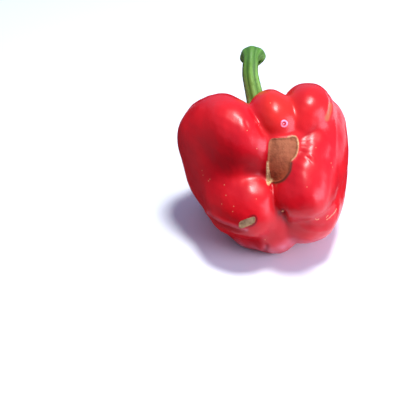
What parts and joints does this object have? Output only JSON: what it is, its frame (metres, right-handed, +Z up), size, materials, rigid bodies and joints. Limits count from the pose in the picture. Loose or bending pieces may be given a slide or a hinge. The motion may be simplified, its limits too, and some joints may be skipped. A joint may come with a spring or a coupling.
{
  "type": "bell pepper",
  "caption": "Blocky, deeply lobed red sweet pepper lying on its side, with its green calyx and curved stem.",
  "frame": {"origin": "centre of the bottom of the whole object's box, on the surface the pepper lies on", "axes": "+Z up as it lies, -Y towards the blossom end that is turned up and forward, +Y towards the stem end, +X to the right"},
  "size_m": [0.087, 0.0916, 0.0811],
  "materials": {
    "red_skin": "waxy glossy skin, deep red, with small corky brown scars",
    "green_calyx": "matt fresh green, slightly leathery",
    "green_stem": "satin fresh green, ridged along its length, dry brownish cut end"
  },
  "bodies": {
    "root": {"flesh": "red_skin", "calyx": "green_calyx", "stem": "green_stem"}
  },
  "joints": []
}
